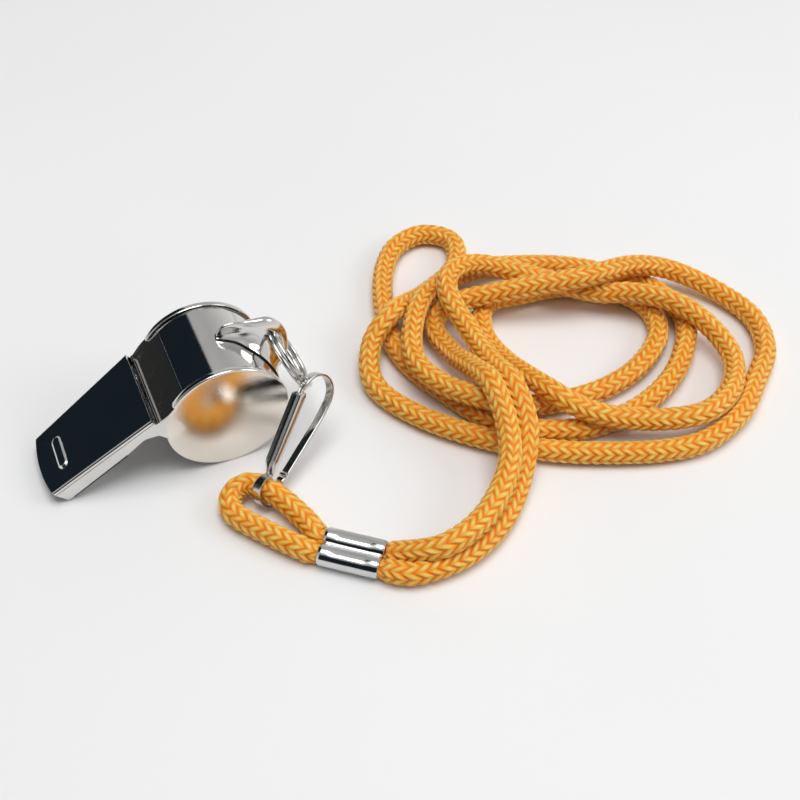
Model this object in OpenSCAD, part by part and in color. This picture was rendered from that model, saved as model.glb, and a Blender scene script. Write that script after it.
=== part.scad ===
// Pea whistle in pressed sheet metal on a knitted neck cord.
// The whistle hangs from a split ring, the ring from a sprung strip clip, and the clip
// from a short loop of the cord behind a two lobed crimp ferrule.
// The whole rests on a table: drum and lip touch it, and the cord is piled beside it.

/* [Drum] */
// Diameter over the turned rims of the two cheeks
drum_d = 22; // [18:0.5:28]
// Width over the two cheeks
drum_w = 18.3; // [15:0.1:24]
// Thickness of the pressed sheet
sheet_t = 0.5; // [0.4:0.05:0.6]
// Width of the rim that each cheek turns over the band
rim_w = 1.05; // [0.8:0.05:1.6]
// Angle where the ramp leaves the band, from the rear of the drum
ramp_angle = 97; // [94:1:100]
// Angle where the lower end of the band stops
heel_angle = 151; // [146:1:156]

/* [Mouthpiece] */
// Distance from the drum axis to the middle of the lip
lip_reach = 31.8; // [26.8:0.5:37.8]
// Width over the lip
lip_w = 14; // [12:0.1:15]
// How far each wall of the mouthpiece stands in from its cheek at the window
neck_inset = 0.45; // [0.25:0.05:1.15]
// Bow of the lip between its corners
lip_bow = 1; // [0.6:0.1:2]
// Height of the mouthpiece at the lip
lip_h = 3.93; // [3.53:0.1:4.43]
// Height of the mouthpiece where its folded floor ends
fold_h = 3.3; // [3:0.1:3.6]
// Distance from the drum axis to the window end of the top plate
window_reach = 8.6; // [8.2:0.1:9.4]
// Distance from the drum axis to the end of the folded floor edge
fold_reach = 16.6; // [15:0.1:18]
// Height of the air slot above the windway floor
slot_h = 1.15; // [0.9:0.05:1.3]
// Length of the raised oval grip pad across the top plate
pad_l = 7; // [5:0.1:9]
// Width of the raised oval grip pad
pad_w = 1.7; // [1.2:0.1:2.4]
// Height of the raised oval grip pad
pad_h = 0.35; // [0.2:0.05:0.5]

/* [Lug] */
// Diameter of the cross hole for the ring
lug_hole_d = 4.2; // [3.6:0.1:4.8]
// Distance from the drum axis to the cross hole
lug_hole_reach = 13.4; // [13.2:0.1:14]
// Height of the lug ridge above the band
lug_h = 6; // [5.6:0.1:6.6]
// Widest half width of the lug foot
lug_foot = 5.4; // [4.4:0.1:6.4]

/* [Pea] */
// Diameter of the pea
pea_d = 9; // [7:0.1:9.2]
// Running room between the pea and the chamber wall
pea_room = 0.2; // [0.1:0.05:0.4]

/* [Ring] */
// Radius of the split ring to the middle of its wire
ring_r = 6.1; // [5.9:0.05:6.3]
// Diameter of the ring wire
ring_wire = 0.7; // [0.5:0.05:0.8]
// Gap between the two turns of the ring
ring_gap = 0.45; // [0.42:0.01:0.5]

/* [Clip] */
// Length from the eye centre to the bow centre
clip_l = 18.7; // [17.5:0.1:20]
// Radius of the bow to the middle of its strip
bow_r = 3.45; // [3.3:0.05:3.7]
// Radius of the eye to the middle of its strip
eye_r = 2.7; // [2.6:0.05:2.9]
// Thickness of the spring strip
strip_t = 0.5; // [0.4:0.05:0.55]
// Width of the spring strip
strip_w = 1.7; // [1.4:0.1:2]
// Width over the channel leg
channel_w = 2.3; // [2.2:0.1:2.6]
// Sheet thickness of the channel leg
channel_t = 0.4; // [0.35:0.05:0.45]
// Height of the channel sides over the leg
channel_side = 1; // [0.8:0.1:1.2]

/* [Ferrule] */
// Length of the crimp ferrule
ferrule_l = 10.4; // [8:0.1:12]
// Outer diameter of each lobe
ferrule_d = 3.8; // [3.7:0.1:4.5]
// Wall of the ferrule
ferrule_t = 0.3; // [0.2:0.05:0.35]

/* [Cord] */
// Diameter of the knitted cord
cord_d = 4.2; // [4:0.1:4.4]
// Share of the cord that stays round where strands press together
cord_core_share = 0.75; // [0.7:0.01:0.78]

/* [Hidden] */
$fn = 64;

// Fit between pressed pieces that seat on each other
fit = 0.02;
// Overrun of a cut past the face it leaves by
over = 1;

drum_r = drum_d / 2;
band_r = drum_r - sheet_t;
chamber_r = band_r - sheet_t;
half_w = drum_w / 2;
// Width over the top plate at the window
neck_w = drum_w - 2 * neck_inset;

// The top plate lies level with the top of the band
top_z = band_r;
plate_z = top_z - sheet_t;
lip_z = top_z - lip_h;
fold_z = top_z - fold_h;

// The floor lip stands back from the top lip, and the walls slant from one to the other
lip_set_back = 1.5;
// The floor rises to a crest under the window, and the walls step up where the fold ends
step_rise = 0.3;
crest_reach = 12.2;
crest_rise = 0.85;
crest_z = fold_z + crest_rise;
heel_reach = 10.1;
heel_z = fold_z - step_rise;

// The ramp plate, from its rolled blade edge up to the band
blade_reach = 8.2;
blade_drop = 1.5;
blade_z = top_z - blade_drop;
blade_r = 0.28;
ramp_t = 0.4;
ramp_side_gap = 0.05;
ramp_root_angle = 4;
// The cheeks start to bend in toward the mouthpiece here
bend_reach = 5.5;

// The windway floor sheet
windway_t = top_z - sheet_t - slot_h - crest_z - sheet_t - fit;
windway_set_back = 7.8;
windway_start = lip_reach - windway_set_back;
windway_end = 9.8;
// The grip pad lies across the plate, this far behind the lip
pad_set_back = 4.8;
pad_reach = lip_reach - pad_set_back;

// Height of the lip over the drum axis and the resting tilt of the whistle
floor_tip_x = lip_reach - lip_set_back;
floor_tip_z = lip_z + floor_step();
rest_pitch = atan2(floor_tip_z, floor_tip_x) + asin(drum_r / norm([floor_tip_x, floor_tip_z]));
function floor_step() = lip_set_back * (fold_z - lip_z) / (lip_reach - fold_reach);

// Where the drum axis stands, so that the metal parts are centred on the origin
stand_x = 6.6;
stand_y = 6.86;

function half_at(reach) = neck_w / 2
    - (reach - window_reach) * (neck_w - lip_w) / 2 / (lip_reach - lip_bow - window_reach);
function polar(r, a) = [r * cos(a), r * sin(a)];

module in_stand() { translate([stand_x, stand_y, 0]) children(); }
module in_whistle() { in_stand() translate([0, 0, drum_r]) rotate([0, -rest_pitch, 0]) children(); }
// An outline drawn in X and Z is drawn out along Y, both ways from the middle
module along_y(w) { rotate([90, 0, 0]) linear_extrude(height = w, center = true) children(); }

// Plan of the mouthpiece between two reaches, inset from its side walls
module lip_circle() {
    lip_r = (pow(lip_w / 2, 2) + pow(lip_bow, 2)) / (2 * lip_bow);
    translate([lip_r - lip_reach, 0]) circle(r = lip_r, $fn = 180);
}
module mouth_plan(inset, from, to) {
    polygon([[-from, -half_at(from) + inset], [-to, -half_at(to) + inset],
        [-to, half_at(to) - inset], [-from, half_at(from) - inset]]);
}

module edge_rod(side) {
    run = lip_reach - window_reach;
    drop = half_at(window_reach) - half_at(lip_reach);
    translate([-window_reach, side * (neck_w / 2 - sheet_t), plate_z])
        rotate([0, 0, side * atan2(drop, run)])
        rotate([0, -90, 0]) cylinder(r = sheet_t, h = norm([run, drop]) + over);
}
module top_plate() {
    intersection() {
        union() {
            translate([0, 0, plate_z]) linear_extrude(height = sheet_t)
                mouth_plan(sheet_t, lip_reach, window_reach);
            edge_rod(-1);
            edge_rod(1);
        }
        translate([0, 0, plate_z]) linear_extrude(height = sheet_t + over) intersection() {
            mouth_plan(-over, lip_reach, window_reach);
            lip_circle();
        }
    }
}
module grip_pad() {
    flat = pad_l - pad_w;
    translate([-pad_reach, 0, top_z - fit]) linear_extrude(height = pad_h + fit) {
        square([pad_w, flat], center = true);
        translate([0, flat / 2]) circle(d = pad_w);
        translate([0, -flat / 2]) circle(d = pad_w);
    }
}
module mouthpiece_top() {
    color("dimgray") in_whistle() {
        top_plate();
        grip_pad();
    }
}

// Folded floor sheet: level run, crest under the window, heel down to the band
module floor_line() {
    polygon([[-lip_reach, lip_z], [-fold_reach, fold_z], [-crest_reach, crest_z],
        [-heel_reach, heel_z], polar(drum_r, heel_angle),
        polar(drum_r, heel_angle) + [sheet_t, 0], [-heel_reach + sheet_t, heel_z + sheet_t],
        [-crest_reach, crest_z + sheet_t], [-fold_reach, fold_z + sheet_t],
        [-lip_reach, lip_z + sheet_t]]);
}
module mouthpiece_floor() {
    color("silver") in_whistle() difference() {
        intersection() {
            along_y(drum_w) floor_line();
            translate([0, 0, -drum_r]) linear_extrude(height = drum_d * 2) intersection() {
                mouth_plan(sheet_t + fit, lip_reach, window_reach - over);
                translate([lip_set_back, 0]) lip_circle();
                square([lip_reach * 2, drum_w - 2 * rim_w - 2 * fit], center = true);
            }
        }
        along_y(drum_w) circle(r = band_r + fit);
    }
}
module windway_floor() {
    start_z = lip_z + (fold_z - lip_z) * (lip_reach - windway_start) / (lip_reach - fold_reach)
        + sheet_t + fit;
    end_z = crest_z + sheet_t + fit;
    color("silver") in_whistle() intersection() {
        along_y(drum_w) polygon([[-windway_start, start_z], [-crest_reach, end_z],
            [-windway_end, end_z], [-windway_end, end_z + windway_t],
            [-crest_reach, end_z + windway_t], [-windway_start, start_z + windway_t]]);
        translate([0, 0, -drum_r]) linear_extrude(height = drum_d * 2)
            mouth_plan(sheet_t + fit, lip_reach, window_reach);
    }
}

// Band of the drum with the ramp that ends in the blade
module band_sector() {
    difference() {
        circle(r = band_r, $fn = 180);
        circle(r = chamber_r, $fn = 180);
        polygon([[0, 0], polar(drum_d, ramp_angle), polar(drum_d, (ramp_angle + heel_angle) / 2),
            polar(drum_d, heel_angle)]);
    }
}
module ramp_line() {
    polygon([[-blade_reach, blade_z], polar(band_r - fit, ramp_angle),
        polar((band_r + chamber_r) / 2, ramp_angle - ramp_root_angle),
        polar(chamber_r + fit, ramp_angle), [-blade_reach, blade_z - ramp_t]]);
}
module drum_band() {
    ramp_w = min(neck_w - 2 * sheet_t, drum_w - 2 * rim_w) - 2 * ramp_side_gap;
    color("gray") in_whistle() {
        along_y(drum_w - 2 * sheet_t - 2 * fit) band_sector();
        along_y(ramp_w) ramp_line();
        along_y(ramp_w) translate([-blade_reach, blade_z - ramp_t / 2]) circle(r = blade_r);
    }
}

// A cheek: flat disc, turned rim, and the wall of the mouthpiece that bends in from it
module wall_profile() {
    difference() {
        polygon([[-floor_tip_x, floor_tip_z], [-fold_reach, fold_z],
            [-fold_reach, fold_z + step_rise],
            [-crest_reach, crest_z], [-heel_reach, heel_z], polar(drum_r, heel_angle),
            [-bend_reach, heel_z - step_rise], [-bend_reach + sheet_t * 2, plate_z - fit],
            [-lip_reach, plate_z - fit]]);
        circle(r = band_r + fit, $fn = 180);
    }
}
module wall_plan(inset) {
    polygon([[-lip_reach, half_at(lip_reach) - inset], [-window_reach, neck_w / 2 - inset],
        [-bend_reach, half_w - inset], [-bend_reach + sheet_t * 2, half_w - inset],
        [-bend_reach + sheet_t * 2, half_w - inset - sheet_t],
        [-bend_reach, half_w - inset - sheet_t], [-window_reach, neck_w / 2 - inset - sheet_t],
        [-lip_reach, half_at(lip_reach) - inset - sheet_t]]);
}
module cheek() {
    intersection() {
        along_y(drum_w + over) wall_profile();
        translate([0, 0, -drum_r]) linear_extrude(height = drum_d * 2) intersection() {
            wall_plan(0);
            lip_circle();
        }
    }
    difference() {
        translate([0, half_w, 0]) rotate([90, 0, 0])
            cylinder(r = drum_r, h = rim_w, $fn = 180);
        translate([0, half_w - sheet_t, 0]) rotate([90, 0, 0])
            cylinder(r = band_r + fit, h = rim_w, $fn = 180);
    }
}
module far_cheek() {
    color("lightgray") in_whistle() cheek();
}
module near_cheek() {
    color("lightgray") in_whistle() mirror([0, 1, 0]) cheek();
}

// Pressed lug: arched sections along the band, hollow, with a cross hole
lug_angles = [48, 44, 37, 29, 21, 13, 6, -3, -11, -18, -25];
lug_rise_shares = [0.12, 0.38, 0.5, 0.57, 0.72, 0.93, 0.97, 0.92, 0.8, 0.66, 0.45];
lug_width_shares = [0.11, 0.16, 0.22, 0.31, 0.49, 0.62, 0.71, 0.8, 0.89, 0.97, 1];
arch_height_shares = [0, 0.12, 0.3, 0.55, 0.8, 0.95, 1];
arch_width_shares = [1, 0.74, 0.52, 0.4, 0.31, 0.18, 0];
lug_seat = 0.06;
lug_side_t = 0.65;
function arch(half, foot, ridge, top) = concat(
    [for (k = [0:top]) [-half * arch_width_shares[k], foot + (ridge - foot) * arch_height_shares[k]]],
    [for (k = [top - 1:-1:0])
        [half * arch_width_shares[k], foot + (ridge - foot) * arch_height_shares[k]]]);
function lug_ring(i) = let (
    top = len(arch_width_shares) - 1,
    foot = band_r + lug_seat,
    ridge = foot + lug_h * lug_rise_shares[i],
    half = lug_foot * lug_width_shares[i],
    outer = arch(half, foot, ridge, top),
    inner_half = max(half - lug_side_t, half / 3),
    inner_ridge = max(ridge - sheet_t, foot + (ridge - foot) / 2),
    inner = arch(inner_half, foot, inner_ridge, top))
    [for (p = concat(outer, [for (k = [len(inner) - 1:-1:0]) inner[k]]))
        [p[1] * cos(lug_angles[i]), p[0], p[1] * sin(lug_angles[i])]];
module lug_shell() {
    rings = [for (i = [0:len(lug_angles) - 1]) lug_ring(i)];
    n = len(rings[0]);
    m = len(rings);
    half_n = n / 2;
    points = [for (r = rings) for (p = r) p];
    sides = [for (i = [0:m - 2]) for (j = [0:n - 1]) let (k = (j + 1) % n)
        each [[i * n + j, i * n + k, (i + 1) * n + k], [i * n + j, (i + 1) * n + k, (i + 1) * n + j]]];
    caps = [for (j = [0:half_n - 2]) let (a = j, b = j + 1, c = n - 2 - j, d = n - 1 - j)
        each [[a, c, b], [a, d, c], [(m - 1) * n + a, (m - 1) * n + b, (m - 1) * n + c],
            [(m - 1) * n + a, (m - 1) * n + c, (m - 1) * n + d]]];
    polyhedron(points = points, faces = concat(sides, caps));
}
module ring_lug() {
    color("silver") in_whistle() difference() {
        lug_shell();
        translate([lug_hole_reach, 0, 0]) rotate([90, 0, 0])
            cylinder(d = lug_hole_d, h = lug_foot * 2 + over, center = true);
    }
}

pea_orbit = chamber_r - pea_room - pea_d / 2;
module pea() {
    color("burlywood") in_stand() translate([0, 0, drum_r - pea_orbit]) sphere(d = pea_d);
}

// A tube through points: each ring stands square to the run of the route there
function unit(v) = v / norm(v);
function run_at(p, i) = unit(p[min(i + 1, len(p) - 1)] - p[max(i - 1, 0)]);
function tube_points(p, r, sides, up) = [for (i = [0:len(p) - 1]) let (
    t = run_at(p, i), a = unit(cross(t, up)), b = cross(a, t))
    for (k = [0:sides - 1]) p[i] + r * (cos(360 * k / sides) * a + sin(360 * k / sides) * b)];
module tube(p, r, sides, up) {
    last = (len(p) - 1) * sides;
    walls = [for (i = [0:len(p) - 2]) for (k = [0:sides - 1]) let (
        a = i * sides + k, b = i * sides + (k + 1) % sides)
        each [[a, b, b + sides], [a, b + sides, a + sides]]];
    ends = [for (k = [1:sides - 2]) each [[0, k + 1, k], [last, last + k, last + k + 1]]];
    polyhedron(points = tube_points(p, r, sides, up), faces = concat(walls, ends));
}

// Split ring: one wire, two turns side by side, with a jog from one turn to the other
ring_at = [13.56, -2.3, 14.13];
ring_tilt = 65.8;
ring_heading = -0.6;
ring_steps = 56;
ring_turns_angle = 710;
ring_pitch = ring_wire + ring_gap;
ring_jog_angle = 50;
function ring_side(a) = ring_pitch * (min(max((a - ring_turns_angle / 2) / ring_jog_angle + 0.5, 0), 1) - 0.5);
function ring_point(a) = [ring_r * cos(a), ring_r * sin(a), ring_side(a)];
module in_ring() {
    in_stand() translate(ring_at) rotate([0, 0, ring_heading]) rotate([0, ring_tilt, 0]) children();
}
module split_ring() {
    wire = [for (i = [0:ring_steps]) ring_point(ring_turns_angle * i / ring_steps)];
    color("silver") in_ring() tube(wire, ring_wire / 2, 8, [0, 0, 1]);
}

// The clip lies in its own plane: eye at the origin, bow centre on +Y, strip width along Z
clip_at = [2.63, -20.56, 3.05];
clip_turn = [125.9, -54, 176.8];
module in_clip() { in_stand() translate(clip_at) rotate(clip_turn) children(); }
eye_end_angle = 62;
hinge_at = [-1.75, 3.6];
hinge_r = 0.4;
hinge_room = 0.1;
neck_at = [1.45, 3.6];
leg_room = 0.1;
// The channel web stands inside the hook tip, which rests between its sides
web_x = bow_r - strip_t / 2 - leg_room - channel_t / 2;
web_set_back = 1.2;
web_top = clip_l - web_set_back;
knee_set_back = 3.2;
knee_y = clip_l - knee_set_back;
hook_drop = 2.6;
hook_w = 1.2;
module bar(p, q, t) {
    d = q - p;
    translate(p) rotate([0, 0, atan2(d[1], d[0])]) translate([0, -t / 2]) square([norm(d), t]);
    translate(p) circle(d = t, $fn = 32);
    translate(q) circle(d = t, $fn = 32);
}
module arc_bar(r, t, from, to) {
    mid = (from + to) / 2;
    difference() {
        circle(r = r + t / 2);
        circle(r = r - t / 2);
        polygon([[0, 0], polar(r * 3, to), polar(r * 3, (to + mid + 180) / 2),
            polar(r * 3, mid + 180), polar(r * 3, (mid + 180 + from + 360) / 2), polar(r * 3, from)]);
    }
}
module thick(w) { linear_extrude(height = w, center = true) children(); }
module clip_channel() {
    web_lean = atan2(web_top - neck_at[1], web_x - neck_at[0]);
    side_l = norm([web_x - neck_at[0], web_top - neck_at[1]]);
    color("silver") in_clip() difference() {
        union() {
            thick(strip_w) arc_bar(eye_r, channel_t, 180 - eye_end_angle, 360 + eye_end_angle);
            thick(strip_w) bar(polar(eye_r, eye_end_angle), neck_at, channel_t);
            thick(strip_w) bar(polar(eye_r, 180 - eye_end_angle), hinge_at, channel_t);
            thick(channel_w) bar(neck_at, [web_x, web_top], channel_t);
            for (side = [-1, 1])
                translate([neck_at[0], neck_at[1], side * (channel_w - channel_t) / 2])
                    rotate([0, 0, web_lean]) translate([0, -channel_t / 2 - channel_side, 0])
                    linear_extrude(height = channel_t, center = true)
                    square([side_l, channel_side]);
        }
        translate([hinge_at[0], hinge_at[1], 0])
            cylinder(r = hinge_r + hinge_room, h = strip_w + over, center = true);
    }
}
module clip_spring() {
    color("lightgray") in_clip() {
        thick(strip_w) {
            translate(hinge_at) circle(r = hinge_r);
            bar(hinge_at, [-bow_r, knee_y], strip_t);
            bar([-bow_r, knee_y], [-bow_r, clip_l], strip_t);
            translate([0, clip_l]) arc_bar(bow_r, strip_t, 0, 180);
        }
        thick(hook_w) bar([bow_r, clip_l], [bow_r, clip_l - hook_drop], strip_t);
    }
}

// Ferrule: two lobes side by side, crimped round both runs of the cord
ferrule_r = ferrule_d / 2;
lobe_apart = ferrule_d - ferrule_t;
ferrule_at = [11.3, -37.5];
ferrule_heading = -39;
core_r = cord_d * cord_core_share / 2;
run_dir = [cos(ferrule_heading), sin(ferrule_heading), 0];
side_dir = [-sin(ferrule_heading), cos(ferrule_heading), 0];
function face_at(end, lobe) = [ferrule_at[0], ferrule_at[1], ferrule_r]
    + run_dir * end * ferrule_l / 2 + side_dir * lobe * lobe_apart / 2;
module in_ferrule() {
    in_stand() translate([ferrule_at[0], ferrule_at[1], ferrule_r])
        rotate([0, 0, ferrule_heading]) rotate([90, 0, 90]) children();
}
module lobes(d) {
    for (lobe = [-1, 1]) translate([lobe * lobe_apart / 2, 0]) circle(d = d);
}
module ferrule() {
    color("silver") in_ferrule() linear_extrude(height = ferrule_l, center = true) difference() {
        lobes(ferrule_d);
        lobes(ferrule_d - 2 * ferrule_t);
    }
}
module ferrule_cords() {
    color("orange") in_ferrule() linear_extrude(height = ferrule_l, center = true)
        lobes(ferrule_d - 2 * ferrule_t - 2 * fit);
}

// Route of the neck cord from the front lobe round the pile and back to the rear lobe
neck_route = [
    [19.5, -45.5, 2.2], [28, -45.5, 2.2], [36, -42, 2.2], [43, -35.5, 2.8], [48, -28, 6.8],
    [49, -20, 10], [49, -12, 7.8], [49, -3, 7], [48.5, 6, 8.8], [51, 11.5, 9.2],
    [57, 13.5, 8], [64, 10.5, 6.4], [76.5, 0.5, 4.8], [83, -4, 6], [88.5, -10.5, 7],
    [92.5, -17.5, 5], [92.5, -25.5, 3.8], [86.5, -33, 4.8], [78, -36, 5.6], [68, -32.5, 5],
    [60, -28, 6.3], [55.5, -22, 7.6], [53.5, -8, 3], [53.5, 1, 2.2], [57.5, 7.5, 2.2],
    [65, 7.5, 2.2], [74, 6, 2.2], [82, 1.5, 2.2], [86, -5.5, 2.2], [84, -13, 2.2],
    [76, -19, 2.2], [66, -21.5, 2.2], [54.5, -20.5, 2.4], [46, -20, 6.8], [39.5, -12.5, 6],
    [37, -4, 6], [40.5, 4.5, 6.7], [46.5, 11, 6.5], [58, 16.5, 3.5], [65, 16.5, 2.4],
    [75.5, 12.5, 2.2], [83.5, 6.5, 2.2], [90, -1.5, 2.2], [91, -11, 2.2], [85.5, -19.5, 2.2],
    [77.5, -25.5, 2.2], [68, -28.5, 2.2], [57.5, -28, 2.2], [46.5, -22, 2.2], [39.5, -9, 2.2],
    [36.5, 1, 2.2], [37.5, 11, 2.2], [41.5, 22.5, 2.2], [47, 30, 2.2], [54, 32, 2.2],
    [59, 27.5, 2.2], [56, 20, 2.2], [47, 15, 2.2], [38, 8.5, 6.6], [31.5, 4, 4],
    [29, -4.5, 2.2], [34, -15, 2.2], [43, -24.5, 2.2], [51, -30.5, 2.2], [60, -35, 2.2],
    [69.5, -38.5, 2.2], [78, -39.5, 2.2], [87, -36.5, 2.2], [94, -31, 2.2], [101, -24, 2.2],
    [103.5, -15.5, 2.2], [100.5, -6.5, 2.7], [94, 0, 4.8], [85.5, 1.5, 7.6], [74, 0.5, 9.4],
    [62, 4, 7.8], [49.5, 8, 4.6], [45, 4.5, 3], [45, -4, 4], [45, -12, 8], [45, -19.5, 11.2],
    [44, -28, 9], [40.5, -35.5, 7.4], [33, -42, 6.2], [24.5, -44.5, 5.6]];
// Route of the short loop from the rear lobe, through the clip eye, to the front lobe
clip_route = [[6.5, -28.5, 2.2], [4, -22.8, 3], [2.6, -20.5, 3], [1.4, -18.8, 3],
    [-0.7, -17.6, 2.8], [-3, -18.2, 2.4], [-4.3, -20.5, 2.2], [-3.8, -23.2, 2.2],
    [-0.5, -28, 2.2], [3, -32.5, 2.2]];
// Each end runs straight into its lobe for a short way
lead_in = 1.2;
function led(route, end, from, to) = concat(
    [face_at(end, from), face_at(end, from) + run_dir * end * lead_in], route,
    [face_at(end, to) + run_dir * end * lead_in, face_at(end, to)]);
module neck_cord() {
    color("orange") in_stand() tube(led(neck_route, 1, -1, 1), core_r, 8, [0, 0, 1]);
}
module clip_cord() {
    color("orange") in_stand() tube(led(clip_route, -1, 1, -1), core_r, 8, [0, 0, 1]);
}

// Least gap of a tube to itself, measured between route points that lie well apart along it
function least(p, skip) = min([for (i = [0:len(p) - 1 - skip]) for (j = [i + skip:len(p) - 1])
    norm(p[i] - p[j])]);
echo(ring_gap = ring_pitch - ring_wire, cord_gap = least(neck_route, 3) - 2 * core_r);

mouthpiece_top();
mouthpiece_floor();
windway_floor();
drum_band();
near_cheek();
far_cheek();
ring_lug();
pea();
split_ring();
clip_channel();
clip_spring();
ferrule();
ferrule_cords();
neck_cord();
clip_cord();
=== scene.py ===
# %% [markdown]
# A referee's pea whistle lies on a table with its knitted neck cord. On the bench it comes
# apart into pressed sheet: a band, two cheeks, a top plate, two floor sheets and a lug. A cork
# pea, a split ring, a sprung strip clip, a crimp ferrule and the cord complete it. The packed
# model already says where each piece sits and how it moves, so this lesson loads it as a fixed
# frame and only builds what the eye sees around it.

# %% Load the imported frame
from math import acos, asin, atan2, cos, degrees, hypot, pi, radians, sin, sqrt

import bmesh
import bpy
import numpy as np
from mathutils import Euler, Matrix, Vector
from mathutils.geometry import delaunay_2d_cdt


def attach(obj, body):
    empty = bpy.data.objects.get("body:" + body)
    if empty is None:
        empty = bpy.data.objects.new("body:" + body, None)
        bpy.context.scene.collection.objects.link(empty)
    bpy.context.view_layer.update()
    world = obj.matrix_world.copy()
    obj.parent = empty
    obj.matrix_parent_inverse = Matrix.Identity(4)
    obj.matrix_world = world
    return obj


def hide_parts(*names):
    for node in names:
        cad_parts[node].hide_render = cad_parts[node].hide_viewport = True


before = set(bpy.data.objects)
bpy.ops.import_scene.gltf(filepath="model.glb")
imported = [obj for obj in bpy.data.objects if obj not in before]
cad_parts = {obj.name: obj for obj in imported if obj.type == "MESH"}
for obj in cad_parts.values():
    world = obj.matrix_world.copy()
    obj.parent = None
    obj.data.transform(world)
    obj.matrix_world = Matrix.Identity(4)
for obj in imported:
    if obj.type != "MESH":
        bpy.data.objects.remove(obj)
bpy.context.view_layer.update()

MM = 0.001

# %% [markdown]
# Most of the real pieces are pressed, folded or rolled from flat sheet, two are bent strips
# and one is a wire, so nearly every piece here is a row of outlines joined into a skin. A
# modelling tool could draw each one by hand. Short functions that make the rows keep the sizes
# readable, and a changed size then moves every piece that follows it.

# %% Helpers that turn rows of points into pieces
def loft(rings, closed=True, caps=True):
    """Joins rings of points, one after another, with quads, and closes both ends."""
    count = len(rings[0])
    points = [p for ring in rings for p in ring]
    faces = []
    for i in range(len(rings) - 1):
        for k in range(count if closed else count - 1):
            j = (k + 1) % count
            faces.append((i * count + k, i * count + j, (i + 1) * count + j, (i + 1) * count + k))
    if caps and closed:
        last = (len(rings) - 1) * count
        faces.append(tuple(range(count - 1, -1, -1)))
        faces.append(tuple(range(last, last + count)))
    return points, faces


def joined(first, second):
    """Two sets of points and faces as one set."""
    shift = len(first[0])
    faces = [tuple(shift + k for k in face) for face in second[1]]
    return [*first[0], *second[0]], [*first[1], *faces]


def tuned(thing, **settings):
    """The same thing with its settings made."""
    for key, value in settings.items():
        setattr(thing, key, value)
    return thing


def add_object(name, data):
    """Puts a new object into the scene."""
    made = bpy.data.objects.new(name, data)
    bpy.context.scene.collection.objects.link(made)
    return made


def put(name, mesh, body, stands_for):
    """Puts a mesh into the scene, riding on a body in place of CAD nodes."""
    piece = add_object(name, mesh)
    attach(piece, body)
    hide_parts(*stands_for)
    print(f"{name}: {len(mesh.vertices)} points, rides on {body}")
    return piece


def make_piece(name, points, faces, body, stands_for):
    """Makes a piece from points in mm, welded where they meet."""
    mesh = bpy.data.meshes.new(name)
    mesh.from_pydata((np.asarray(points, float) * MM).tolist(), [], faces)
    mesh.validate()
    shape = bmesh.new()
    shape.from_mesh(mesh)
    bmesh.ops.remove_doubles(shape, verts=shape.verts, dist=0.001 * MM)
    bmesh.ops.recalc_face_normals(shape, faces=shape.faces)
    for face in shape.faces:
        face.smooth = True
    shape.to_mesh(mesh)
    shape.free()
    return put(name, mesh, body, stands_for)


def sheet_metal(piece, thickness=0.0, edge=0.05, steps=2):
    """Gives a skin its sheet thickness, breaks its edges and evens its shading."""
    if thickness:
        tuned(piece.modifiers.new("sheet", "SOLIDIFY"), thickness=thickness * MM, offset=-1,
              use_even_offset=True)
    tuned(piece.modifiers.new("broken edges", "BEVEL"), width=edge * MM, segments=steps,
          limit_method="ANGLE", angle_limit=radians(35))
    tuned(piece.modifiers.new("even shading", "WEIGHTED_NORMAL"), weight=60)
    return piece


# %% Helpers for smooth lines
def through(points, count):
    """A smooth line through points, as a Catmull-Rom curve, with count samples a stretch."""
    p = np.asarray(points, float)
    p = np.vstack([2 * p[0] - p[1], p, 2 * p[-1] - p[-2]])
    t = np.linspace(0, 1, count, endpoint=False)[:, None]
    line = []
    for a, b, c, d in zip(p[:-3], p[1:-2], p[2:-1], p[3:]):
        line.append(b + t / 2 * (c - a) + t**2 * (a - 2.5 * b + 2 * c - d / 2)
                    + t**3 * (1.5 * b - 1.5 * c + d / 2 - a / 2))
    return np.vstack([*line, p[-2:-1]])


def evenly(line, step):
    """The same line with its points an even step apart."""
    line = np.asarray(line, float)
    run = np.concatenate([[0], np.cumsum(np.linalg.norm(np.diff(line, axis=0), axis=1))])
    at = np.linspace(0, run[-1], max(2, int(round(run[-1] / step)) + 1))
    return np.stack([np.interp(at, run, line[:, k]) for k in range(line.shape[1])], 1), run[-1]


def smooth_step(t):
    """Goes from 0 to 1 with no corner at either end."""
    t = np.clip(t, 0, 1)
    return t * t * (3 - 2 * t)


def round_angles(count):
    """Even angles once round a circle."""
    return np.linspace(0, 2 * pi, count, endpoint=False)


def directions(line):
    """The direction in which a line runs at each of its points."""
    run = np.gradient(np.asarray(line, float), axis=0)
    return run / np.linalg.norm(run, axis=1)[:, None]


def frames_along(line):
    """Side and up directions along a line, carried forward without any twist."""
    run = directions(line)
    up = np.zeros_like(run)
    up[0] = np.cross(run[0], np.cross([0, 0, 1.0], run[0]))
    up[0] /= np.linalg.norm(up[0])
    for i in range(1, len(run)):
        v = up[i - 1] - run[i] * (up[i - 1] @ run[i])
        up[i] = v / np.linalg.norm(v)
    return np.cross(up, run), up


# %% [markdown]
# The photograph looks down on the whistle from its lip side, a little to the left. The camera
# comes first, because the view decides where detail pays. Its three directions are square to
# each other, and a lens of 57 mm on a 36 mm sensor gives the photograph's mild perspective.

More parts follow.
